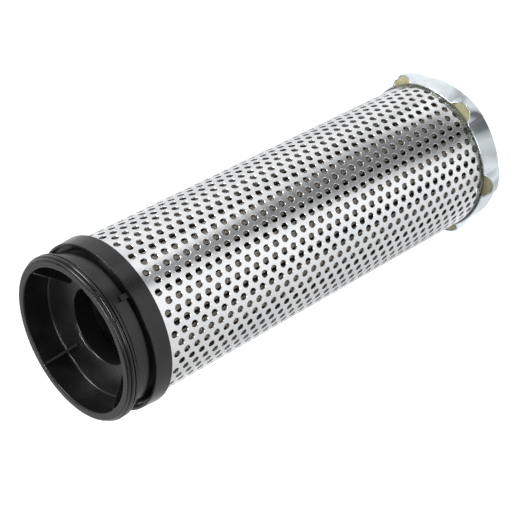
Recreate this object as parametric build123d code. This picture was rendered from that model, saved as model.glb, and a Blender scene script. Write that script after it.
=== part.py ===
"""Hydraulic return-line filter element, in millimetres, standing on its closed steel cap.

The Z axis is the element's own axis. Z = 0 is the outer face of the pressed steel cap, and the
moulded cap with its open mouth is at the top. The X axis runs through one rib of that cap.
"""
import math
import os

from build123d import *

# Overall
OVERALL_LENGTH = 212.4

# Outer support tube: perforated sheet with a staggered hole pattern, rolled and seam welded
TUBE_DIAMETER = 66.7
TUBE_WALL = 0.7
HOLE_ROWS = 14            # rows of holes round the tube, an even number
HOLE_TO_PITCH = 0.6       # width of a hole over the distance to its neighbours
HOLE_SIDES = 6            # each hole is drawn with this many flat sides
HOLE_EDGE = 1.6           # plain sheet left between a hole and the rim of a cap
SEAM_WIDTH = 2.0
SEAM_HEIGHT = 0.15

# Core tube, inside the folds
CORE_WALL = 0.7
CORE_HOLE_ROWS = 6
CORE_HOLE_TO_PITCH = 0.5

# Folded pack: wire cloth, filter medium and wire cloth, folded together
CLOTH_THICKNESS = 0.2
MEDIUM_THICKNESS = 0.4
FOLD_CROWDING = 1.2       # room that a fold takes at the core, over its own thickness
FOLD_TIP_OPENING = 0.3    # half the space inside a fold at its outer tip
PACK_CLEARANCE = 0.3      # between the folds and each tube

# Moulded cap: depths run down from its mouth, insets and outsets from the outside of the tube
MOUTH_INSET = 3.15
MOUTH_INNER_ROUND = 0.5
MOUTH_OUTER_ROUND = 0.9
FRONT_LIP_OUTSET = 0.25
FRONT_LIP_THICKNESS = 1.3
SEAL_SECTION = 1.78
SEAL_PROUD = 0.05         # how far the seal stands past the rear lip
GROOVE_WIDTH = 1.9
GROOVE_CLEARANCE = 0.03
REAR_LIP_OUTSET = 0.95
REAR_LIP_THICKNESS = 0.9
LIP_ROUND = 0.2
NECK_INSET = 1.35
COLLAR_FRONT_DEPTH = 12.2
COLLAR_FRONT_WALL = 1.35  # wall of the collar round the tube, at the collar's face
COLLAR_BACK_WALL = 1.8
COLLAR_LENGTH = 7.6
COLLAR_LIP = 1.05         # wall outside the ring-shaped recess in the collar's face
COLLAR_ROUND = 0.3
FINE_ROUND = 0.15         # the sharper moulded edges
RECESS_DEPTH = 1.8
RECESS_ROOT_INSET = 2.35
NECK_EDGE_ABOVE_COLLAR = 1.0
WEB_THICKNESS = 1.6       # between the recess and the potting chamber
CUP_FLOOR_INSET = 4.35
CUP_FLOOR_DEPTH = 11.3
CUP_FLOOR_FALL = 1.7      # the floor falls this much towards the bore
CUP_FLOOR_ROUND = 1.0
BORE_RADIUS = 15.65
BORE_LIP_ROUND = 1.2
SPIGOT_WALL = 1.8
SPIGOT_PAST_COLLAR = 1.7
FIT_CLEARANCE = 0.2       # between the outer tube and the collar that takes it
SPIGOT_CLEARANCE = 0.1    # between the spigot and the core tube around it
TUBE_END_GAP = 0.8        # resin between the ends of both tubes and the moulded cap

RIBS = 4
RIB_THICKNESS = 1.0
RIB_TOP_DEPTH = 0.8       # the ribs start this far below the mouth
RIB_INNER_RADIUS = 20.0
RIB_TOE = 0.4             # height of a rib where it ends on the floor

PADS = 2
PAD_ANGLE = 83.0
PAD_START = 9.0           # angle from the X axis to the first pad
PAD_HEIGHT = 0.35
PAD_DEPTH = 5.6
KEY_ANGLE = 3.7
KEY_INSET = 0.05
KEY_DEPTH = 8.7
KEY_FOOT_HEIGHT = 0.9     # of the block that ties a key to the collar across the recess

# Pressed steel cap
SHEET = 0.8
SKIRT_GAP = 0.25          # between the tube and the skirt, where it is pressed in
SKIRT_HEIGHT = 12.0
SKIRT_CORNER = 3.3
LOBES = 6
LOBE_REACH = 3.6          # of the unpressed lobes past the skirt
LOBE_CORNER = 9.5
LOBE_ROUND = 6.0          # radius of a lobe seen along the axis
LOBE_START = 40.0         # angle from the X axis to the first lobe
RIM_DIP = 2.6             # the rim lies this much lower in the middle of a lobe
RIM_DIP_ROUND = 8.0

# Cast resin at both ends
RESIN_BELOW_RIM = 0.8     # level of the resin, below the rim of the skirt
RESIN_CREEP = 2.0         # height that the resin climbs up the tube past the skirt
RESIN_BELOW_LOBE = 0.4    # the resin meets a lobe's sheet this far below its rim
RESIN_DOME_RISE = 4.0     # from there up to the tube
RESIN_DOME_INSET = 3.35   # from the tube's surface in to the middle of the dome's sphere
UPPER_RESIN_BELOW_RIM = 0.6

# Worked out from the sizes above
tube_outer = TUBE_DIAMETER / 2
tube_inner = tube_outer - TUBE_WALL
mouth_radius = tube_outer - MOUTH_INSET
front_lip_radius = tube_outer + FRONT_LIP_OUTSET
rear_lip_radius = tube_outer + REAR_LIP_OUTSET
neck_radius = tube_outer - NECK_INSET
recess_root_radius = tube_outer - RECESS_ROOT_INSET
cup_floor_radius = tube_outer - CUP_FLOOR_INSET
key_radius = tube_outer - KEY_INSET
chamber_radius = tube_outer + FIT_CLEARANCE
collar_front_radius = chamber_radius + COLLAR_FRONT_WALL
collar_back_radius = chamber_radius + COLLAR_BACK_WALL
skirt_radius = tube_outer + SKIRT_GAP + SHEET
lobe_radius = skirt_radius + LOBE_REACH
mouth_z = OVERALL_LENGTH
collar_front_z = mouth_z - COLLAR_FRONT_DEPTH
collar_back_z = collar_front_z - COLLAR_LENGTH
recess_floor_z = collar_front_z - RECESS_DEPTH
chamber_top_z = recess_floor_z - WEB_THICKNESS
spigot_outer = BORE_RADIUS + SPIGOT_WALL
spigot_end_z = collar_back_z - SPIGOT_PAST_COLLAR
core_inner = spigot_outer + SPIGOT_CLEARANCE
core_outer = core_inner + CORE_WALL
tube_foot_z = SKIRT_CORNER
tube_top_z = chamber_top_z - TUBE_END_GAP
lower_resin_z = SKIRT_HEIGHT - RESIN_BELOW_RIM
upper_resin_z = collar_back_z + UPPER_RESIN_BELOW_RIM
seal_centre_radius = rear_lip_radius + SEAL_PROUD - SEAL_SECTION / 2
groove_radius = seal_centre_radius - SEAL_SECTION / 2 - GROOVE_CLEARANCE
groove_top_z = mouth_z - FRONT_LIP_THICKNESS
groove_bottom_z = groove_top_z - GROOVE_WIDTH
rear_lip_back_z = groove_bottom_z - REAR_LIP_THICKNESS
neck_edge_z = collar_front_z + NECK_EDGE_ABOVE_COLLAR
web_middle_z = (recess_floor_z + chamber_top_z) / 2
lobe_centre = lobe_radius - LOBE_ROUND
lobe_rim_z = SKIRT_HEIGHT - RIM_DIP
dome_centre = tube_outer - RESIN_DOME_INSET
dome_edge_reach = lobe_radius - SHEET - dome_centre
dome_edge_z = lobe_rim_z - RESIN_BELOW_LOBE
dome_centre_z = dome_edge_z + RESIN_DOME_RISE / 2 - (
    dome_edge_reach ** 2 - RESIN_DOME_INSET ** 2) / (2 * RESIN_DOME_RISE)
dome_radius = math.hypot(dome_edge_reach, dome_edge_z - dome_centre_z)


def outline(corners):
    """Face in the XZ plane from (radius, height, rounding) corners, each rounded by an arc."""
    count = len(corners)
    edges = []
    starts = []
    ends = []
    for i, (x, z, rounding) in enumerate(corners):
        here = Vector(x, 0, z)
        back = Vector(corners[i - 1][0], 0, corners[i - 1][1]) - here
        ahead = Vector(corners[(i + 1) % count][0], 0, corners[(i + 1) % count][1]) - here
        if rounding == 0:
            starts.append(here)
            ends.append(here)
            continue
        half = math.radians(back.get_angle(ahead)) / 2
        reach = rounding / math.tan(half)
        start = here + back.normalized() * reach
        end = here + ahead.normalized() * reach
        towards = (back.normalized() + ahead.normalized()).normalized()
        middle = here + towards * (rounding / math.sin(half) - rounding)
        edges.append(Edge.make_three_point_arc(start, middle, end))
        starts.append(start)
        ends.append(end)
    for i in range(count):
        start, end = ends[i], starts[(i + 1) % count]
        if (end - start).length > 1e-6:
            edges.append(Edge.make_line(start, end))
    return Face(Wire(edges))


def turned(corners):
    """Solid of revolution about Z from an outline."""
    return revolve(outline(corners), Axis.Z)


def ring(inner, outer, low, high):
    """Plain ring about Z."""
    return turned([(inner, low, 0), (outer, low, 0), (outer, high, 0), (inner, high, 0)])


def ring_sector(inner, outer, low, high, start, angle):
    """Part of a ring, from the start angle through the given angle."""
    face = outline([(inner, low, 0), (outer, low, 0), (outer, high, 0), (inner, high, 0)])
    return revolve(face.rotate(Axis.Z, start), Axis.Z, angle)


def polar(radius, angle, height=0.0):
    """Point at a radius, an angle in degrees and a height."""
    turn = math.radians(angle)
    return Vector(radius * math.cos(turn), radius * math.sin(turn), height)


def hole_pins(radius, rows, width_over_pitch, low, high, depth):
    """Six-sided pins that punch a staggered pattern with equal distances all round."""
    row_gap = 2 * math.pi * radius / rows
    pitch = row_gap / math.cos(math.radians(30))
    width = width_over_pitch * pitch
    same_area_radius = width * math.sqrt(math.pi / (2 * HOLE_SIDES * math.sin(2 * math.pi / HOLE_SIDES)))
    room = high - low - width
    steps = int(room / pitch - 0.5)
    first = low + (high - low - (steps + 0.5) * pitch) / 2
    pins = []
    for row in range(rows):
        angle = 360 * (row + 0.5) / rows
        for step in range(steps + 1):
            height = first + (step + 0.5 * (row % 2)) * pitch
            plane = Plane(origin=polar(radius - depth, angle, height), x_dir=(0, 0, 1),
                          z_dir=polar(1, angle))
            face = plane * RegularPolygon(same_area_radius, HOLE_SIDES)
            pins.append(extrude(face, 2 * depth))
    return pins


def fold_contour(depth, low, high):
    """Star-shaped prism whose side lies the given depth inside the pack's outer face."""
    thickness = 2 * CLOTH_THICKNESS + MEDIUM_THICKNESS
    inner = core_outer + PACK_CLEARANCE
    outer = tube_inner - PACK_CLEARANCE
    folds = int(math.pi * inner / (thickness * FOLD_CROWDING))
    root_half = (thickness + math.pi * inner / folds) / 2
    tip_half = thickness + FOLD_TIP_OPENING
    root = inner + thickness - depth
    root_side = root_half + (tip_half - root_half) * (root - inner) / (outer - inner) - depth
    points = []
    for fold in range(folds):
        along = polar(1, 360 * fold / folds)
        across = polar(1, 360 * fold / folds + 90)
        for reach, side in ((root, -root_side), (outer - depth, depth - tip_half),
                            (outer - depth, tip_half - depth), (root, root_side)):
            points.append(along * reach + across * side)
    face = Face(Wire.make_polygon(points, close=True))
    return extrude(Pos(0, 0, low) * face, high - low)


def folded_layer(start, thickness):
    """One layer of the pack, from its depth inside the outer face."""
    low, high = lower_resin_z, upper_resin_z
    return fold_contour(start, low, high) - fold_contour(start + thickness, low, high)


def outer_tube():
    """Rolled perforated tube with its weld bead, which lies between two rows of holes."""
    tube = ring(tube_inner, tube_outer, tube_foot_z, tube_top_z)
    half_bead = math.degrees(SEAM_WIDTH / 2 / tube_outer)
    bead = ring_sector(tube_inner, tube_outer + SEAM_HEIGHT, SKIRT_HEIGHT + RESIN_CREEP,
                       collar_back_z, -90 - half_bead, 2 * half_bead)
    low = SKIRT_HEIGHT + RESIN_CREEP + HOLE_EDGE
    high = collar_back_z - HOLE_EDGE
    pins = hole_pins(tube_outer, HOLE_ROWS, HOLE_TO_PITCH, low, high, 2 * TUBE_WALL)
    return tube + bead - pins


def core_tube():
    """Perforated core that keeps the folds from collapsing inwards."""
    tube = ring(core_inner, core_outer, tube_foot_z, tube_top_z)
    low = lower_resin_z + HOLE_EDGE
    high = spigot_end_z - HOLE_EDGE
    pins = hole_pins(core_outer, CORE_HOLE_ROWS, CORE_HOLE_TO_PITCH, low, high, 2 * CORE_WALL)
    return tube - pins


def head_cap():
    """One moulding: cup with ribs, seal groove, neck with pads and keys, collar and spigot."""
    floor_z = mouth_z - CUP_FLOOR_DEPTH
    body = turned([
        (mouth_radius, mouth_z, MOUTH_INNER_ROUND),
        (front_lip_radius, mouth_z, MOUTH_OUTER_ROUND),
        (front_lip_radius, groove_top_z, FINE_ROUND),
        (groove_radius, groove_top_z, 0),
        (groove_radius, groove_bottom_z, 0),
        (rear_lip_radius, groove_bottom_z, LIP_ROUND),
        (rear_lip_radius, rear_lip_back_z, LIP_ROUND),
        (neck_radius, rear_lip_back_z, 0),
        (neck_radius, neck_edge_z, FINE_ROUND),
        (recess_root_radius, neck_edge_z, 0),
        (recess_root_radius, recess_floor_z, 0),
        (collar_front_radius - COLLAR_LIP, recess_floor_z, 0),
        (collar_front_radius - COLLAR_LIP, collar_front_z, FINE_ROUND),
        (collar_front_radius, collar_front_z, COLLAR_ROUND),
        (collar_back_radius, collar_back_z, COLLAR_ROUND),
        (chamber_radius, collar_back_z, 0),
        (chamber_radius, chamber_top_z, 0),
        (spigot_outer, chamber_top_z, 0),
        (spigot_outer, spigot_end_z, 0),
        (BORE_RADIUS, spigot_end_z, 0),
        (BORE_RADIUS, floor_z - CUP_FLOOR_FALL, BORE_LIP_ROUND),
        (cup_floor_radius, floor_z, CUP_FLOOR_ROUND),
    ])
    wall = (cup_floor_radius + recess_root_radius) / 2
    draft = mouth_radius - cup_floor_radius
    fall_per_mm = CUP_FLOOR_FALL / (cup_floor_radius - BORE_RADIUS)
    toe_z = floor_z - fall_per_mm * (cup_floor_radius - RIB_INNER_RADIUS) + RIB_TOE
    rib_face = outline([
        (RIB_INNER_RADIUS, web_middle_z, 0),
        (wall, web_middle_z, 0),
        (wall + draft / 2, mouth_z - RIB_TOP_DEPTH, 0),
        (mouth_radius - draft / 2, mouth_z - RIB_TOP_DEPTH, 0),
        (RIB_INNER_RADIUS, toe_z, 0),
    ])
    rib = extrude(rib_face, RIB_THICKNESS / 2, both=True)
    for i in range(RIBS):
        body += rib.rotate(Axis.Z, 360 * i / RIBS)
    for i in range(PADS):
        start = PAD_START + 360 * i / PADS
        body += ring_sector(recess_root_radius, neck_radius + PAD_HEIGHT, neck_edge_z,
                            mouth_z - PAD_DEPTH, start, PAD_ANGLE)
        for key in (start - KEY_ANGLE, start + PAD_ANGLE):
            body += ring_sector(wall, key_radius, web_middle_z, mouth_z - KEY_DEPTH, key, KEY_ANGLE)
            body += ring_sector(wall, collar_front_radius - COLLAR_LIP / 2, web_middle_z,
                                recess_floor_z + KEY_FOOT_HEIGHT, key, KEY_ANGLE)
    return body


def seal_ring():
    """Round-section seal in the groove between the two lips."""
    centre_z = (groove_top_z + groove_bottom_z) / 2
    return Pos(0, 0, centre_z) * Torus(seal_centre_radius, SEAL_SECTION / 2)


def pressed_form(inset, top):
    """Dish form of the steel cap, moved inwards by the inset: round wall and six lobes."""
    skirt = skirt_radius - inset
    full = lobe_radius - inset
    form = turned([(0, inset, 0), (skirt, inset, SKIRT_CORNER - inset), (skirt, top, 0), (0, top, 0)])
    rim = turned([(0, inset, 0), (full, inset, LOBE_CORNER - inset), (full, top, 0), (0, top, 0)])
    for i in range(LOBES):
        place = polar(lobe_centre, LOBE_START + 360 * i / LOBES)
        column = Pos(place.X, place.Y, top / 2) * Cylinder(LOBE_ROUND - inset, 2 * top)
        form += rim & column
    return form


def end_cap():
    """Closed cap pressed from sheet, with six lobes where its rim flares out and dips."""
    body = pressed_form(0, SKIRT_HEIGHT) - pressed_form(SHEET, 2 * SKIRT_HEIGHT)
    reach = lobe_radius - BORE_RADIUS
    dip = Pos(lobe_radius, 0, lobe_rim_z + RIM_DIP_ROUND) * Rot(0, 90, 0) * Cylinder(
        RIM_DIP_ROUND, reach)
    for i in range(LOBES):
        body -= dip.rotate(Axis.Z, LOBE_START + 360 * i / LOBES)
    return body


def lower_resin():
    """Resin cast in the steel cap: level bed, film on the tube and a dome in each lobe."""
    bed = turned([(0, SHEET, 0), (skirt_radius - SHEET, SHEET, SKIRT_CORNER - SHEET),
                  (skirt_radius - SHEET, lower_resin_z, 0), (0, lower_resin_z, 0)])
    film = turned([
        (tube_inner, lower_resin_z, 0),
        (skirt_radius - SHEET, lower_resin_z, 0),
        (skirt_radius - SHEET, SKIRT_HEIGHT, 0),
        (tube_outer, SKIRT_HEIGHT + RESIN_CREEP, 0),
        (tube_inner, SKIRT_HEIGHT + RESIN_CREEP, 0),
    ])
    body = bed + film
    filled = pressed_form(SHEET, 2 * SKIRT_HEIGHT)
    for i in range(LOBES):
        place = polar(dome_centre, LOBE_START + 360 * i / LOBES)
        body += filled & (Pos(place.X, place.Y, dome_centre_z) * Sphere(dome_radius))
    body -= ring(tube_inner, tube_outer, tube_foot_z, 2 * SKIRT_HEIGHT)
    body -= Pos(0, 0, lower_resin_z) * Cylinder(
        tube_inner, 2 * SKIRT_HEIGHT, align=(Align.CENTER, Align.CENTER, Align.MIN))
    body -= ring(core_inner, core_outer, tube_foot_z, 2 * SKIRT_HEIGHT)
    return body


def upper_resin():
    """Resin cast in the moulded cap round both tubes."""
    body = ring(spigot_outer, chamber_radius, upper_resin_z, chamber_top_z)
    body -= ring(tube_inner, tube_outer, collar_back_z, tube_top_z)
    body -= ring(core_inner, core_outer, collar_back_z, tube_top_z)
    return body


pieces = {
    "head_cap": head_cap,
    "seal_ring": seal_ring,
    "outer_tube": outer_tube,
    "outer_cloth": lambda: folded_layer(0, CLOTH_THICKNESS),
    "filter_medium": lambda: folded_layer(CLOTH_THICKNESS, MEDIUM_THICKNESS),
    "inner_cloth": lambda: folded_layer(CLOTH_THICKNESS + MEDIUM_THICKNESS, CLOTH_THICKNESS),
    "core_tube": core_tube,
    "end_cap": end_cap,
    "lower_resin": lower_resin,
    "upper_resin": upper_resin,
}

os.makedirs("parts", exist_ok=True)
for name, make in pieces.items():
    export_step(make(), f"parts/{name}.step")
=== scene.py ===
"""Hydraulic return-line filter element, standing on its pressed steel cap, in metres.

The Z axis is the element's own axis. Angles run from the X axis, which passes through one rib of
the moulded cap. The steel cap and its resin are at the bottom, the moulded cap is at the top.
"""
import math

import bmesh
import bpy
import numpy as np
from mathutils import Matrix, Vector


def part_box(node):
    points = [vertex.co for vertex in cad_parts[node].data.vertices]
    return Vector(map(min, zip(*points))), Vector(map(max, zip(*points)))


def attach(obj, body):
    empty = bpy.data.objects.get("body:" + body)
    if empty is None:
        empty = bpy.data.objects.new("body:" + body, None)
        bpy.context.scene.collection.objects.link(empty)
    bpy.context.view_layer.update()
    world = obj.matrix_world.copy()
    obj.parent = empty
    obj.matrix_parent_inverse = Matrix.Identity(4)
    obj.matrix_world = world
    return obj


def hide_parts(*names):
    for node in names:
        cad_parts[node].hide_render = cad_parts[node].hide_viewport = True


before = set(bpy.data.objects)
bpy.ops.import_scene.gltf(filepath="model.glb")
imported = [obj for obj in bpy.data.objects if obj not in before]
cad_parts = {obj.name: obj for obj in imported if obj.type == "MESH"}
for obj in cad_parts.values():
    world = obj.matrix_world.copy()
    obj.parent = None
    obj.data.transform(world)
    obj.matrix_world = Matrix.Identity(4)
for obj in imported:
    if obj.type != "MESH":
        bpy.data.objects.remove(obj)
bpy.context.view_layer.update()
MM = 0.001

# Perforated tube: punched sheet, 3 mm holes at 5 mm pitch, rolled and seam welded
TUBE_WALL = 0.7 * MM
HOLE_PITCH = 5.0 * MM
HOLE_RADIUS = 1.5 * MM
HOLE_POINTS = 12           # round each hole, a multiple of six
HOLE_LINES = 48            # lines of holes along the axis
RIM_WIDTH = 0.16 * MM      # edge of a hole that the punch has drawn in
RIM_DROP = 0.12 * MM
FIRST_HOLE_HEIGHT = 6.08 * MM
SEAM_ANGLE = math.radians(-91.4)
SEAM_COLUMNS = 6
BEAD_HEIGHT = 0.15 * MM

# Pressed steel cap
SHEET = 0.8 * MM
SKIRT_GAP = 0.25 * MM      # from the tube to the skirt where it is pressed in
SKIRT_CORNER = 3.3 * MM
LOBES = 6
LOBE_START = math.radians(40)
LOBE_REACH = 3.45 * MM     # the blended creases widen a lobe, so this keeps it within the solid's size
LOBE_CORNER = 9.5 * MM
LOBE_ROUND = 6.0 * MM
LOBE_HEIGHT = 9.4 * MM     # the rim dips to this height in the middle of a lobe
RIM_DIP_ROUND = 8.0 * MM
CREASE_ROUND = 1.0 * MM    # blend between a lobe and the pressed band beside it
RIM_BLEND = 0.4 * MM
EDGE_ROUND = 0.36 * MM     # of the sheet's cut edge

# Resin cast in the steel cap
BED_HEIGHT = 11.3 * MM
BODY_HEIGHT = 11.0 * MM    # where the resin in a lobe meets the tube
BELOW_RIM = 0.1 * MM
FILM_HEIGHT = 14.2 * MM    # the film on the tube ends at about this height
FILM_WAVES = ((0.35, 5, 0.4), (0.3, 9, 2.0), (0.2, 16, 4.1), (0.08, 27, 1.0))
FILM_DEPTH = 0.1 * MM
CLOUDY_DEPTH = 1.2 * MM    # resin thicker than this looks milky
LOBE_CLOUD = 0.35          # milkiness of the film where it runs into a lobe

# Camera and light
CAMERA_LENS = 109.1        # millimetres, on a sensor 36 mm wide
CAMERA_PLACE = Vector((0.05253, 0.51938, 0.48177))
CAMERA_TURN = tuple(math.radians(a) for a in (-34.0557, 46.5129, 41.6549))

FLOOR_TONE = 0.8
FLOOR_GLOW = 0.72
WORLD_LIGHT = 0.2
TENT_TONE = 0.85           # of the tent wall behind the element, as its reflections show it
TENT_FRONT = 0.35          # the same on the camera's side
TENT_LOW, TENT_HIGH = 0.46, 0.72   # heights in the sky, as sines, between which the tent fades out
RING_INNER = 0.033
RING_OUTER = 0.9
CARD_LIFT = 0.0003
CARD_TONES = ((0, 0.74), (30, 0.86), (50, 1.0), (70, 1.1), (122, 1.1), (136, 1.2), (144, 0.72), (150, 0.8),
              (157, 0.93), (166, 0.98), (180, 0.93), (195, 0.82), (210, 0.83), (218, 0.86), (226, 0.95),
              (234, 1.1), (297, 1.0), (306, 0.74), (316, 0.66), (330, 0.66), (360, 0.74))
NEAR_TONES = ((0, 0.82), (18, 0.8), (38, 0.5), (48, 0.85), (59, 0.56), (71, 0.68), (77, 0.45), (81, 0.15),
              (88, 0.15), (93, 0.5), (100, 0.8), (110, 0.75), (116, 0.42), (125, 0.85), (135, 0.97), (250, 0.95),
              (350, 0.98), (360, 0.82))
NEAR_END, FAR_START = 0.045, 0.058
FLAG_TONE = 0.16
FLAG_SOFTNESS = 0.8
FLAGS = (((0.046, 90, 0.1), (0.056, 96, 22), (0.07, 100, 26), (0.10, 109, 27), (0.14, 111.5, 25), (0.177, 111, 21),
          (0.216, 110.7, 16), (0.255, 109, 12), (0.29, 110, 10.5), (0.40, 110, 9)),
         ((0.046, 265, 0.1), (0.06, 265, 18), (0.30, 265, 12)))

tube_low, tube_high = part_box("outer_tube")
tube_radius = tube_high.x
cap_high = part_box("end_cap")[1]


def new_mesh_object(name, vertices, faces, material, body="root"):
    """Mesh object at the origin from arrays of points and of quads or triangles."""
    mesh = bpy.data.meshes.new(name)
    mesh.from_pydata(vertices.reshape(-1, 3).tolist(), [], faces.tolist())
    mesh.materials.append(material)
    piece = bpy.data.objects.new(name, mesh)
    bpy.context.scene.collection.objects.link(piece)
    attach(piece, body)
    return piece


def weld(piece, distance=1e-6):
    """Merges points that coincide and turns all faces outwards, which a volume over zero shows."""
    mesh = bmesh.new()
    mesh.from_mesh(piece.data)
    bmesh.ops.remove_doubles(mesh, verts=mesh.verts, dist=distance)
    bmesh.ops.dissolve_degenerate(mesh, edges=mesh.edges, dist=distance)
    bmesh.ops.recalc_face_normals(mesh, faces=mesh.faces)
    if mesh.calc_volume(signed=True) < 0:
        bmesh.ops.reverse_faces(mesh, faces=mesh.faces)
    mesh.to_mesh(piece.data)
    mesh.free()


def smooth(piece, sharp_angle):
    """Smooth shading, with edges over the given angle in degrees kept sharp."""
    piece.data.shade_smooth()
    piece.data.set_sharp_from_angle(angle=math.radians(sharp_angle))


# Materials

def node(tree, kind, links=(), **values):
    """Adds a shader node, sets its properties and sockets, and links (socket, source) pairs."""
    made = tree.nodes.new(kind)
    for name, value in values.items():
        if hasattr(made, name):
            setattr(made, name, value)
        else:
            made.inputs[name.replace("_", " ")].default_value = value
    for socket, source in links:
        tree.links.new(source, made.inputs[socket])
    return made


def principled(name, **sockets):
    """New material with a Principled shader. Returns the material, its tree and the shader."""
    material = bpy.data.materials.new(name)
    material.use_nodes = True
    tree = material.node_tree
    shader = tree.nodes["Principled BSDF"]
    for socket, value in sockets.items():
        shader.inputs[socket.replace("_", " ")].default_value = value
    return material, tree, shader


def place(tree, scale=(1, 1, 1)):
    """Object coordinates, stretched by the scale."""
    coordinates = node(tree, "ShaderNodeTexCoord")
    mapping = node(tree, "ShaderNodeMapping", [("Vector", coordinates.outputs["Object"])])
    mapping.inputs["Scale"].default_value = scale
    return mapping.outputs["Vector"]


def noise(tree, where, scale, detail=3.0):
    """Noise from 0 to 1, with the scale in features per metre."""
    return node(tree, "ShaderNodeTexNoise", [("Vector", where)], Scale=scale, Detail=detail).outputs["Fac"]


def ramp(tree, source, stops):
    """Colour ramp over the source, from (position, colour) stops."""
    made = node(tree, "ShaderNodeValToRGB", [("Fac", source)])
    elements = made.color_ramp.elements
    while len(elements) < len(stops):
        elements.new(0.5)
    for element, (position, colour) in zip(elements, stops):
        element.position = position
        element.color = (*colour, 1)
    return made.outputs["Color"]


def spread(tree, source, low, high):
    """Maps 0..1 of the source to low..high."""
    return node(tree, "ShaderNodeMapRange", [("Value", source)], To_Min=low, To_Max=high).outputs["Result"]


def bump(tree, shader, height, distance, strength=1.0):
    """Feeds a height pattern to the shader's normal."""
    made = node(tree, "ShaderNodeBump", [("Height", height)], Distance=distance, Strength=strength)
    tree.links.new(made.outputs["Normal"], shader.inputs["Normal"])
    return made


def zinc_sheet():
    """Bright zinc plating on rolled sheet: faint rolling grain along the axis and soft clouds."""
    material, tree, shader = principled("zinc_sheet", Metallic=1.0)
    clouds = noise(tree, place(tree, (1, 1, 0.5)), 60, 4)
    grain = noise(tree, place(tree, (1, 1, 0.06)), 2600, 2)
    tree.links.new(ramp(tree, clouds, [(0.3, (0.80, 0.82, 0.84)), (0.7, (0.90, 0.91, 0.92))]),
                   shader.inputs["Base Color"])
    tree.links.new(spread(tree, grain, 0.20, 0.34), shader.inputs["Roughness"])
    bump(tree, shader, grain, 0.00001, 0.25)
    return material


def zinc_pressing():
    """Bluish zinc on the pressed cap, with faint clouds and marks of the drawing tool."""
    material, tree, shader = principled("zinc_pressing", Metallic=1.0)
    patches = noise(tree, place(tree), 130, 4)
    drawn = noise(tree, place(tree, (1, 1, 0.15)), 900, 3)
    tree.links.new(ramp(tree, patches, [(0.36, (0.76, 0.83, 0.88)), (0.52, (0.84, 0.91, 0.95))]),
                   shader.inputs["Base Color"])
    tree.links.new(spread(tree, drawn, 0.14, 0.30), shader.inputs["Roughness"])
    bump(tree, shader, drawn, 0.00001, 0.3)
    return material


def black_nylon():
    """Satin glass-filled nylon: very fine moulded texture."""
    material, tree, shader = principled("black_nylon", Specular_IOR_Level=0.5)
    fine = noise(tree, place(tree), 5000, 2)
    broad = noise(tree, place(tree), 120, 3)
    tree.links.new(ramp(tree, broad, [(0.3, (0.006, 0.006, 0.007)), (0.7, (0.010, 0.010, 0.011))]),
                   shader.inputs["Base Color"])
    tree.links.new(spread(tree, broad, 0.22, 0.32), shader.inputs["Roughness"])
    bump(tree, shader, fine, 0.00001, 0.2)
    return material


def seal_rubber():
    """Oiled nitrile rubber."""
    material, tree, shader = principled("seal_rubber")
    film = noise(tree, place(tree), 300, 3)
    tree.links.new(ramp(tree, film, [(0.3, (0.006, 0.006, 0.006)), (0.7, (0.012, 0.012, 0.012))]),
                   shader.inputs["Base Color"])
    tree.links.new(spread(tree, film, 0.12, 0.24), shader.inputs["Roughness"])
    return material


def wire_cloth():
    """Woven wire, as two sets of ridges a wire apart, one along the axis and one across it."""
    material, tree, shader = principled("wire_cloth", Metallic=0.7, Roughness=0.45)
    where = place(tree)
    across = node(tree, "ShaderNodeTexWave", [("Vector", where)], bands_direction="Z", Scale=700.0)
    along = node(tree, "ShaderNodeTexWave", [("Vector", where)], bands_direction="DIAGONAL", Scale=700.0)
    weave = node(tree, "ShaderNodeMath", [(0, across.outputs["Fac"]), (1, along.outputs["Fac"])],
                 operation="MAXIMUM").outputs[0]
    tree.links.new(ramp(tree, weave, [(0.2, (0.05, 0.045, 0.04)), (0.9, (0.30, 0.27, 0.235))]),
                   shader.inputs["Base Color"])
    bump(tree, shader, weave, 0.00008, 0.6)
    return material


def fibre_mat():
    """Glass fibre mat, matt and slightly mottled."""
    material, tree, shader = principled("fibre_mat", Roughness=0.95)
    fibres = noise(tree, place(tree, (1, 1, 0.3)), 3000, 4)
    tree.links.new(ramp(tree, fibres, [(0.3, (0.62, 0.58, 0.50)), (0.7, (0.80, 0.77, 0.70))]),
                   shader.inputs["Base Color"])
    bump(tree, shader, fibres, 0.00005, 0.4)
    return material


def core_steel_painted_shade():
    """Plain perforated sheet of the core, duller than the outer tube. Its colour is darkened as painted shade, for
    the shade deep inside the bore.
    """
    material, tree, shader = principled("core_steel_painted_shade", Metallic=1.0)
    clouds = noise(tree, place(tree), 200, 3)
    # painted shade: these dark steel tones stand in for the shade that falls on the core deep inside the bore
    tree.links.new(ramp(tree, clouds, [(0.3, (0.26, 0.26, 0.25)), (0.7, (0.40, 0.40, 0.39))]),
                   shader.inputs["Base Color"])
    tree.links.new(spread(tree, clouds, 0.25, 0.4), shader.inputs["Roughness"])
    return material


def milky_beige(tree):
    """Colour of the resin where it is thick, with faint streaks."""
    streaks = noise(tree, place(tree), 300, 3)
    return ramp(tree, streaks, [(0.3, (0.40, 0.37, 0.21)), (0.7, (0.50, 0.47, 0.29))])


def potting_resin():
    """Resin in a thick body, milky throughout."""
    material, tree, shader = principled(
        "potting_resin", Roughness=0.2, IOR=1.5, Subsurface_Scale=0.003, Subsurface_Weight=0.7)
    shader.inputs["Subsurface Radius"].default_value = (1.0, 0.8, 0.45)
    tree.links.new(milky_beige(tree), shader.inputs["Base Color"])
    return material


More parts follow.
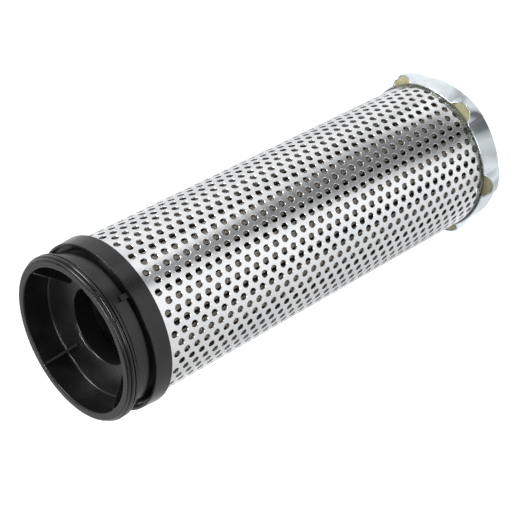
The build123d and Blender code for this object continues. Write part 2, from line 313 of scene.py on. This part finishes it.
def cast_resin():
    """Beige resin with a glossy skin: a clear greenish film where thin, milky where thick."""
    material, tree, shader = principled(
        "cast_resin", Roughness=0.12, IOR=1.5, Subsurface_Scale=0.003)
    shader.inputs["Subsurface Radius"].default_value = (1.0, 0.8, 0.45)
    cloud = node(tree, "ShaderNodeAttribute", attribute_name="cloud").outputs["Fac"]
    colour = node(tree, "ShaderNodeMix", data_type="RGBA")
    tree.links.new(cloud, colour.inputs["Factor"])
    colour.inputs[6].default_value = (0.47, 0.50, 0.45, 1)
    tree.links.new(milky_beige(tree), colour.inputs[7])
    tree.links.new(colour.outputs[2], shader.inputs["Base Color"])
    tree.links.new(spread(tree, cloud, 1.0, 0.0), shader.inputs["Transmission Weight"])
    tree.links.new(spread(tree, cloud, 0.0, 0.7), shader.inputs["Subsurface Weight"])
    return material


# Perforated tube

def perforated_tube(material):
    """Rolled sheet punched with a staggered pattern of equal distances.

    Flat out, every hole owns the hexagon of points nearer to it than to its neighbours. Along each
    of the hole's directions a run goes from the hexagon's edge, over the drawn-in rim, down the
    hole's wall and back to the hexagon's edge on the inside. A point of the flat sheet at (u, v)
    and some depth is rolled to the angle u / radius, the height v and the radius less the depth.
    """
    half = HOLE_PITCH / 2
    line_step = HOLE_PITCH * math.cos(math.radians(30))
    cells = int((tube_high.z - FIRST_HOLE_HEIGHT - 2 * half) / HOLE_PITCH) + 1
    lines = np.arange(HOLE_LINES)
    centre_u = lines[:, None] * line_step + np.zeros(cells)
    centre_v = FIRST_HOLE_HEIGHT + np.arange(cells) * HOLE_PITCH + (lines[:, None] % 2) * half

    turn = np.arange(HOLE_POINTS) * 2 * math.pi / HOLE_POINTS
    hexagon = half / np.cos(turn % (math.pi / 3) - math.pi / 6)
    flat = np.zeros(HOLE_POINTS)
    reach = np.stack([hexagon, flat + HOLE_RADIUS + RIM_WIDTH, flat + HOLE_RADIUS, flat + HOLE_RADIUS, hexagon])
    depth = np.array([0, 0, RIM_DROP, TUBE_WALL, TUBE_WALL])

    cell = np.empty((HOLE_LINES, cells, len(depth), HOLE_POINTS, 3))
    cell[..., 0] = centre_u[:, :, None, None] + reach * np.cos(turn)
    cell[..., 1] = centre_v[:, :, None, None] + reach * np.sin(turn)
    cell[..., 2] = depth[:, None]
    ahead = np.roll(cell, -1, axis=3)
    quads = [np.stack([cell[:, :, 1:], cell[:, :, :-1], ahead[:, :, :-1], ahead[:, :, 1:]], axis=4)]

    def end_strip(points, height):
        """Plain sheet from a run of edge points straight along the axis to the tube's end."""
        for d in (0, TUBE_WALL):
            edge = np.stack([points[..., 0], points[..., 1], np.full(points.shape[:-1], d)], -1)
            end = edge.copy()
            end[..., 1] = height
            quads.append(np.stack([edge[..., :-1, :], end[..., :-1, :], end[..., 1:, :], edge[..., 1:, :]], -2))
        inner = end.copy()
        outer = end.copy()
        outer[..., 2] = 0
        quads.append(np.stack([outer[..., :-1, :], inner[..., :-1, :], inner[..., 1:, :], outer[..., 1:, :]], -2))

    edge = cell[:, :, 0]
    whole, third = HOLE_POINTS // 2, HOLE_POINTS // 6
    end_strip(edge[1::2, -1, :whole + 1], tube_high.z)
    end_strip(edge[0::2, -1, third:2 * third + 1], tube_high.z)
    below = np.concatenate([edge[:, 0], edge[:, 0, :1]], axis=1)
    end_strip(below[0::2, whole:], tube_low.z)
    end_strip(below[1::2, whole + third:whole + 2 * third + 1], tube_low.z)

    quarter = half / 2
    heights = np.concatenate([[tube_low.z], FIRST_HOLE_HEIGHT + np.arange(2 * (2 * cells - 1) + 1 + 1) * quarter])
    heights = heights[heights <= centre_v[0, -1] + half + 1e-9]
    heights = np.append(heights, tube_high.z)
    inside = np.clip(heights, FIRST_HOLE_HEIGHT, centre_v[0, -1] + half)
    phase = np.abs((inside - FIRST_HOLE_HEIGHT) / half % 2 - 1)
    wide, narrow = half / math.cos(math.pi / 6), half * math.tan(math.pi / 6)
    start = centre_u[-1, 0] + wide - (wide - narrow) * phase
    stop = 2 * math.pi * tube_radius - narrow - (wide - narrow) * phase
    across = np.linspace(0, 1, SEAM_COLUMNS + 1)
    bead = BEAD_HEIGHT * np.sin(math.pi * across) ** 2
    u = start[:, None] + (stop - start)[:, None] * across
    v = heights[:, None] + 0 * across
    for lift in (-bead + 0 * v, TUBE_WALL + 0 * v):
        sheet = np.stack([u, v, lift], -1)
        quads.append(np.stack([sheet[:-1, :-1], sheet[:-1, 1:], sheet[1:, 1:], sheet[1:, :-1]], -2))
    for row in (0, -1):
        top = np.stack([u[row], v[row], -bead], -1)
        low = np.stack([u[row], v[row], TUBE_WALL + 0 * bead], -1)
        quads.append(np.stack([top[:-1], low[:-1], low[1:], top[1:]], -2))

    sheet = np.concatenate([q.reshape(-1, 3) for q in quads])
    seam_middle = (start[0] + stop[0]) / 2
    angle = SEAM_ANGLE + (sheet[:, 0] - seam_middle) / tube_radius
    radius = tube_radius - sheet[:, 2]
    rolled = np.stack([radius * np.cos(angle), radius * np.sin(angle), sheet[:, 1]], -1)
    piece = new_mesh_object("punched_tube", rolled, np.arange(len(rolled)).reshape(-1, 4), material)
    weld(piece)
    smooth(piece, 34)
    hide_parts("outer_tube")
    return piece


# Pressed steel cap

def soft_greater(a, b, blend):
    """The greater of two lengths, rounded over where they are within the blend of each other."""
    return (a + b + np.sqrt((a - b) ** 2 + blend ** 2)) / 2


def ring_surface(angle, rings):
    """Points and quads of a surface through rings, each a radius and a height, for every angle."""
    radius = np.array([r + 0 * angle for r, z in rings])
    height = np.array([z + 0 * angle for r, z in rings])
    points = np.stack([radius * np.cos(angle), radius * np.sin(angle), height], -1)
    index = np.arange(radius.size).reshape(radius.shape)
    ahead = np.roll(index, -1, axis=1)
    return points, np.stack([index[:-1], index[1:], ahead[1:], ahead[:-1]], -1).reshape(-1, 4)


def lobe_offset(angle):
    """Angle from the middle of the nearest lobe."""
    step = 2 * math.pi / LOBES
    return (angle - LOBE_START + step / 2) % step - step / 2


def rim_height(angle):
    """Height of the cap's rim: level, with a round dip across each lobe."""
    side = (tube_radius + LOBE_REACH) * np.sin(lobe_offset(angle))
    dip = LOBE_HEIGHT + RIM_DIP_ROUND - np.sqrt(np.maximum(RIM_DIP_ROUND ** 2 - side ** 2, 0))
    return -soft_greater(-dip, -cap_high.z, RIM_BLEND)


def pressed_radius(angle, height, inset):
    """Radius of the cap's wall at an angle and height.

    The pressed band is a circle close round the tube. Each lobe is a round column at its own
    centre, cut by the wider rim of the first pressing. The wall is the greater of the two, with a
    crease rounded over, and both turn into the flat bottom through their own corner radius.
    """
    skirt = tube_radius + SKIRT_GAP + SHEET - inset
    full = skirt + LOBE_REACH + 0.4 * CREASE_ROUND
    centre = full + inset - LOBE_ROUND

    def corner(wall, rounding):
        rise = np.clip(rounding - height, 0, rounding)
        return wall - rounding + np.sqrt(rounding ** 2 - rise ** 2)

    off = lobe_offset(angle)
    column = (LOBE_ROUND - inset) ** 2 - (centre * np.sin(off)) ** 2
    lobe = centre * np.cos(off) + np.sqrt(np.maximum(column, 0))
    rim = corner(full, LOBE_CORNER - inset)
    lobe = -soft_greater(-lobe, -rim, CREASE_ROUND)
    return soft_greater(corner(skirt, SKIRT_CORNER - inset), lobe, CREASE_ROUND)


def pressed_cap(material):
    """Closed sheet cap: rings of points from the middle of the outer face, up the wall, over the
    rounded cut edge and back down the inside, at one height and radius step after another."""
    count = 720
    angle = np.arange(count) * 2 * math.pi / count
    top = rim_height(angle)
    swing = np.linspace(0, math.pi / 2, 12)
    shares = np.concatenate([0.75 * (1 - np.cos(swing)), np.linspace(0.75, 0.983, 7)[1:]])
    rings = []
    for share in (0.0, 0.4, 0.8, 0.93):
        rings.append((pressed_radius(angle, 0.0, 0.0) * share, 0.0))
    for share in shares:
        rings.append((pressed_radius(angle, share * top, 0.0), share * top))
    wall = pressed_radius(angle, top, 0.0)
    back = pressed_radius(angle, top, SHEET)
    for lean in np.linspace(0, math.pi / 2, 5):
        rings.append((wall - EDGE_ROUND * (1 - math.cos(lean)), top - EDGE_ROUND * (1 - math.sin(lean))))
    for lean in np.linspace(math.pi / 2, 0, 5):
        rings.append((back + EDGE_ROUND * (1 - math.cos(lean)), top - EDGE_ROUND * (1 - math.sin(lean))))
    for share in shares[::-1]:
        level = SHEET + share * (top - SHEET)
        rings.append((pressed_radius(angle, level - SHEET, SHEET), level))
    rings.append((0.0, SHEET))
    points, faces = ring_surface(angle, rings)
    piece = new_mesh_object("pressed_cap", points, faces, material)
    weld(piece)
    smooth(piece, 40)
    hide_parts("end_cap")
    return piece


# Resin in the steel cap

def poured_resin(material):
    """Resin cast in the steel cap, as one closed body of rings.

    A level bed lies under the folds. Outside the tube a thin film starts at a wavy edge, thickens
    downwards and turns into the body of the resin. From there the surface falls to the cap's
    sheet with the height (1 - s squared) to a power over the way s from the tube to the sheet:
    a dome in each lobe and a narrow meniscus in the pressed bands. The attribute "cloud" grows
    with the thickness, from clear to milky.
    """
    count = 720
    angle = np.arange(count) * 2 * math.pi / count
    wall_height = rim_height(angle) - BELOW_RIM
    wall = pressed_radius(angle, wall_height - SHEET, SHEET)
    width = wall - tube_radius
    lobe = np.clip((width / MM - 0.4) / 1.5, 0, 1)
    edge = FILM_HEIGHT + sum(size * MM * np.sin(waves * angle + start) for size, waves, start in FILM_WAVES)
    body = wall_height + 0.3 * MM + lobe * (BODY_HEIGHT - wall_height - 0.3 * MM)
    inner = tube_radius - TUBE_WALL / 2
    rings = [(0.0, BED_HEIGHT), (inner, BED_HEIGHT), (inner, edge), (tube_radius, edge)]
    cloud = [1.0, 1.0, 0.0, 0.0]
    for share in (0.03, 0.1, 0.25, 0.5, 0.75, 1.0):
        rings.append((tube_radius + FILM_DEPTH * math.sqrt(share), edge + share * (body - edge)))
        cloud.append(LOBE_CLOUD * lobe * share)
    for share in np.linspace(0, 1, 13)[1:]:
        rings.append((tube_radius + FILM_DEPTH + share * (width - FILM_DEPTH),
                      wall_height + (body - wall_height) * (1 - share ** 2) ** 0.75))
        cloud.append(np.clip(LOBE_CLOUD * lobe + share * width / CLOUDY_DEPTH, 0, 1))
    rings.append((wall + SHEET / 4, wall_height))
    cloud.append(1.0)
    for share in (0.8, 0.5, 0.25, 0.1):
        level = SHEET + share * (wall_height - SHEET)
        rings.append((pressed_radius(angle, level - SHEET, SHEET) + SHEET / 4, level))
        cloud.append(1.0)
    rings.append((0.0, SHEET / 2))
    cloud.append(1.0)
    points, faces = ring_surface(angle, rings)
    piece = new_mesh_object("poured_resin", points, faces, material)
    cloud = np.array([c + 0 * angle for c in cloud])
    piece.data.attributes.new("cloud", "FLOAT", "POINT").data.foreach_set("value", cloud.ravel())
    weld(piece)
    smooth(piece, 50)
    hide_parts("lower_resin")
    return piece


# Studio

def area_light(name, place, target, size, power, colour=(1, 1, 1)):
    """Square softbox at a place, facing a target."""
    data = bpy.data.lights.new(name, "AREA")
    data.shape = "RECTANGLE"
    data.size, data.size_y = size
    data.energy = power
    data.color = colour
    light = bpy.data.objects.new(name, data)
    light.location = place
    light.rotation_euler = (Vector(place) - Vector(target)).to_track_quat("Z", "Y").to_euler()
    bpy.context.scene.collection.objects.link(light)
    return light


def floor():
    """Pale floor that stays white to the camera and in reflections, and keeps the shadow."""
    material = bpy.data.materials.new("pale_floor")
    material.use_nodes = True
    tree = material.node_tree
    tree.nodes.clear()
    rays = node(tree, "ShaderNodeLightPath")
    seen = node(tree, "ShaderNodeMath", [(0, rays.outputs["Is Camera Ray"]), (1, rays.outputs["Is Glossy Ray"])],
                operation="MAXIMUM")
    seen = node(tree, "ShaderNodeMath", [(0, seen.outputs[0]), (1, rays.outputs["Is Transmission Ray"])],
                operation="MAXIMUM")
    glow = node(tree, "ShaderNodeMath", [(0, seen.outputs[0])], operation="MULTIPLY")
    glow.inputs[1].default_value = FLOOR_GLOW
    emission = node(tree, "ShaderNodeEmission", [("Strength", glow.outputs[0])])
    diffuse = node(tree, "ShaderNodeBsdfDiffuse", Color=(FLOOR_TONE, FLOOR_TONE, FLOOR_TONE, 1))
    both = node(tree, "ShaderNodeAddShader", [(0, diffuse.outputs[0]), (1, emission.outputs[0])])
    output = node(tree, "ShaderNodeOutputMaterial", [("Surface", both.outputs[0])])
    mesh = bpy.data.meshes.new("floor")
    half = 3.0
    mesh.from_pydata([(-half, -half, 0), (half, -half, 0), (half, half, 0), (-half, half, 0)], [], [(0, 1, 2, 3)])
    mesh.materials.append(material)
    piece = bpy.data.objects.new("floor", mesh)
    bpy.context.scene.collection.objects.link(piece)


def reflector_ring():
    """Ring of studio card lying round the element, which only its reflections show.

    The card's tone goes round the ring from softbox white to pale grey, through the stops of
    NEAR_TONES beside the steel cap and of CARD_TONES farther out. Dark flags lead away from the
    element: their middle angle and half their width change with the distance, through the stops
    of FLAGS, and their edges are soft.
    """
    turns, steps = 720, 90
    angle = np.arange(turns + 1) * 360 / turns
    distance = np.geomspace(RING_INNER, RING_OUTER, steps)[:, None]
    far = np.interp(angle, *np.array(CARD_TONES).T)
    near = np.interp(angle, *np.array(NEAR_TONES).T)
    tone = near + (far - near) * np.clip((distance - NEAR_END) / (FAR_START - NEAR_END), 0, 1)
    for flag in FLAGS:
        reach, middle, half = np.array(flag).T
        off = np.abs((angle - np.interp(distance, reach, middle) + 180) % 360 - 180)
        share = np.clip((off / np.interp(distance, reach, half) - 1) / FLAG_SOFTNESS + 0.5, 0, 1)
        tone = tone * (FLAG_TONE + (1 - FLAG_TONE) * share * share * (3 - 2 * share))
    radians = np.radians(angle)
    points = np.stack([distance * np.cos(radians), distance * np.sin(radians),
                       CARD_LIFT + 0 * distance + 0 * radians], -1)
    index = np.arange(points.shape[0] * points.shape[1]).reshape(points.shape[:2])
    faces = np.stack([index[:-1, :-1], index[1:, :-1], index[1:, 1:], index[:-1, 1:]], -1).reshape(-1, 4)
    mesh = bpy.data.meshes.new("reflector_ring")
    mesh.from_pydata(points.reshape(-1, 3).tolist(), [], faces.tolist())
    mesh.attributes.new("tone", "FLOAT", "POINT").data.foreach_set("value", tone.ravel())
    material = bpy.data.materials.new("studio_card")
    material.use_nodes = True
    tree = material.node_tree
    tree.nodes.clear()
    shade = node(tree, "ShaderNodeAttribute", attribute_name="tone")
    emission = node(tree, "ShaderNodeEmission", [("Strength", shade.outputs["Fac"])])
    node(tree, "ShaderNodeOutputMaterial", [("Surface", emission.outputs[0])])
    mesh.materials.append(material)
    piece = bpy.data.objects.new("reflector_ring", mesh)
    piece.visible_camera = False
    piece.visible_diffuse = False
    piece.visible_shadow = False
    bpy.context.scene.collection.objects.link(piece)


def tent():
    """Even grey light from all round, with a tent wall that only reflections show. It is bright
    behind the element, darker on the camera's side, and fades out overhead. The camera sees a
    backdrop as pale as the far floor, so that no edge shows between them."""
    world = bpy.data.worlds.new("tent")
    world.use_nodes = True
    tree = world.node_tree
    direction = node(tree, "ShaderNodeTexCoord")
    parts = node(tree, "ShaderNodeSeparateXYZ", [("Vector", direction.outputs["Generated"])])
    side = node(tree, "ShaderNodeMapRange", [("Value", parts.outputs["Y"])], interpolation_type="SMOOTHSTEP",
                From_Min=-0.3, From_Max=0.5, To_Min=TENT_TONE - WORLD_LIGHT, To_Max=TENT_FRONT - WORLD_LIGHT)
    wall = node(tree, "ShaderNodeMapRange", [("Value", parts.outputs["Z"])], interpolation_type="SMOOTHSTEP",
                From_Min=TENT_LOW, From_Max=TENT_HIGH, To_Min=1.0, To_Max=0.0)
    tone = node(tree, "ShaderNodeMath", [(0, side.outputs["Result"]), (1, wall.outputs["Result"])],
                operation="MULTIPLY")
    rays = node(tree, "ShaderNodeLightPath")
    seen = node(tree, "ShaderNodeMath", [(0, tone.outputs[0]), (1, rays.outputs["Is Glossy Ray"])],
                operation="MULTIPLY")
    shown = node(tree, "ShaderNodeMath", [(0, rays.outputs["Is Camera Ray"]), (2, seen.outputs[0])],
                 operation="MULTIPLY_ADD")
    shown.inputs[1].default_value = FLOOR_GLOW + FLOOR_TONE * WORLD_LIGHT - WORLD_LIGHT
    light = node(tree, "ShaderNodeMath", [(0, shown.outputs[0])], operation="ADD")
    light.inputs[1].default_value = WORLD_LIGHT
    background = tree.nodes["Background"]
    background.inputs["Color"].default_value = (1, 1, 1, 1)
    tree.links.new(light.outputs[0], background.inputs["Strength"])
    bpy.context.scene.world = world


def camera():
    """Camera solved from the rows of holes in the photograph."""
    data = bpy.data.cameras.new("camera")
    data.sensor_width = 36.0
    data.lens = CAMERA_LENS
    made = bpy.data.objects.new("camera", data)
    made.location = CAMERA_PLACE
    made.rotation_euler = CAMERA_TURN
    bpy.context.scene.collection.objects.link(made)
    bpy.context.scene.camera = made


camera()
floor()
reflector_ring()
tent()
middle = (0, 0, 0.1)
area_light("key", (0.5, 1.0, 1.0), middle, (0.6, 0.6), 6)
area_light("fill", (-0.9, 0.4, 0.7), middle, (0.5, 0.5), 9)
area_light("top", (-0.15, -0.1, 1.4), middle, (0.25, 0.25), 5)
bpy.context.scene.view_settings.view_transform = "Standard"

finish = {
    "head_cap": black_nylon(),
    "seal_ring": seal_rubber(),
    "outer_cloth": wire_cloth(),
    "filter_medium": fibre_mat(),
    "core_tube": core_steel_painted_shade(),
    "upper_resin": potting_resin(),
}
finish["inner_cloth"] = finish["outer_cloth"]
for name, material in finish.items():
    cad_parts[name].data.materials.clear()
    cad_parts[name].data.materials.append(material)
perforated_tube(zinc_sheet())
pressed_cap(zinc_pressing())
poured_resin(cast_resin())
